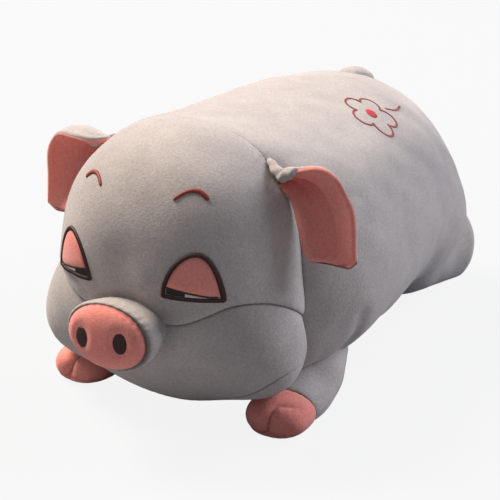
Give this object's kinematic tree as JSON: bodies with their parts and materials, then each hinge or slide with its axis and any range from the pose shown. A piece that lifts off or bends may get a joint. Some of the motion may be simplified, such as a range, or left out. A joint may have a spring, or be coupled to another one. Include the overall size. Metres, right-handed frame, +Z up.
{
  "type": "stuffed animal",
  "caption": "Grey stuffed pig lying on its belly, a pillow-like soft toy with a pink snout pad, folded ears, stub legs and sleepy stitched eyes.",
  "frame": {"origin": "the point of the flat belly under the middle of the body, on the surface that the toy rests on", "axes": "the snout points along -Y, the pig's left side is at +X, and +Z is up"},
  "size_m": [0.2926, 0.515, 0.245],
  "materials": {
    "grey_velour": "short matt nap",
    "pink_velour": "short matt nap",
    "fibre_filling": "loose matt fibre",
    "dark_thread": "satin stitch, soft sheen",
    "brow_thread": "satin stitch, soft sheen",
    "white_thread": "satin stitch, soft sheen",
    "black_thread": "satin stitch, soft sheen",
    "red_thread": "satin stitch, soft sheen"
  },
  "bodies": {
    "trunk": {"back_panel": "grey_velour", "belly_panel": "grey_velour", "body_filling": "fibre_filling", "brow_left": "brow_thread", "brow_right": "brow_thread", "chin_panel": "grey_velour", "eye_line_left": "dark_thread", "eye_line_right": "dark_thread", "eye_white_left": "white_thread", "eye_white_right": "white_thread", "eyelid_left": "pink_velour", "eyelid_right": "pink_velour", "face_panel": "grey_velour", "head_filling": "fibre_filling", "hip_berry": "red_thread", "hip_flower": "dark_thread", "hip_stem": "dark_thread", "jowl_panel": "grey_velour", "muzzle_band": "grey_velour", "nostril_left": "dark_thread", "nostril_right": "dark_thread", "pupil_left": "black_thread", "pupil_right": "black_thread", "snout_filling": "fibre_filling", "snout_pad": "pink_velour"},
    "front_leg_left": {"front_leg_left": "grey_velour", "front_hoof_left": "pink_velour", "front_leg_left_filling": "fibre_filling"},
    "front_leg_right": {"front_leg_right": "grey_velour", "front_hoof_right": "pink_velour", "front_leg_right_filling": "fibre_filling"},
    "hind_leg_left": {"hind_leg_left": "grey_velour", "hind_leg_left_filling": "fibre_filling"},
    "hind_leg_right": {"hind_leg_right": "grey_velour", "hind_leg_right_filling": "fibre_filling"},
    "ear_left": {"ear_back_left": "grey_velour", "ear_lining_left": "pink_velour"},
    "ear_right": {"ear_back_right": "grey_velour", "ear_lining_right": "pink_velour"},
    "tail": {"tail": "grey_velour", "tail_filling": "fibre_filling"}
  },
  "joints": [
    {"name": "front_leg_left_splay", "type": "hinge", "parent": "trunk", "child": "front_leg_left", "pos_m": [0.084, -0.04, 0.0255], "axis": [0, 0, 1], "range_deg": [0, 25], "stiffness_Nm_per_rad": 0.05},
    {"name": "front_leg_right_splay", "type": "hinge", "parent": "trunk", "child": "front_leg_right", "pos_m": [-0.084, -0.04, 0.0255], "axis": [0, 0, -1], "range_deg": [0, 25], "stiffness_Nm_per_rad": 0.05},
    {"name": "hind_leg_left_splay", "type": "hinge", "parent": "trunk", "child": "hind_leg_left", "pos_m": [0.066, 0.164, 0.0455], "axis": [0, 0, -1], "range_deg": [0, 15], "stiffness_Nm_per_rad": 0.08},
    {"name": "hind_leg_right_splay", "type": "hinge", "parent": "trunk", "child": "hind_leg_right", "pos_m": [-0.066, 0.164, 0.0455], "axis": [0, 0, 1], "range_deg": [0, 15], "stiffness_Nm_per_rad": 0.08},
    {"name": "ear_left_flap", "type": "hinge", "parent": "trunk", "child": "ear_left", "pos_m": [0.086, -0.117, 0.209], "axis": [0.5084, -0.2003, -0.8375], "range_deg": [-8, 50], "stiffness_Nm_per_rad": 0.05},
    {"name": "ear_right_flap", "type": "hinge", "parent": "trunk", "child": "ear_right", "pos_m": [-0.086, -0.117, 0.209], "axis": [0.5084, 0.2003, 0.8375], "range_deg": [-8, 50], "stiffness_Nm_per_rad": 0.05},
    {"name": "tail_lift", "type": "hinge", "parent": "trunk", "child": "tail", "pos_m": [0, 0.16757, 0.21855], "axis": [1, 0, 0], "range_deg": [0, 40], "stiffness_Nm_per_rad": 0.02}
  ]
}
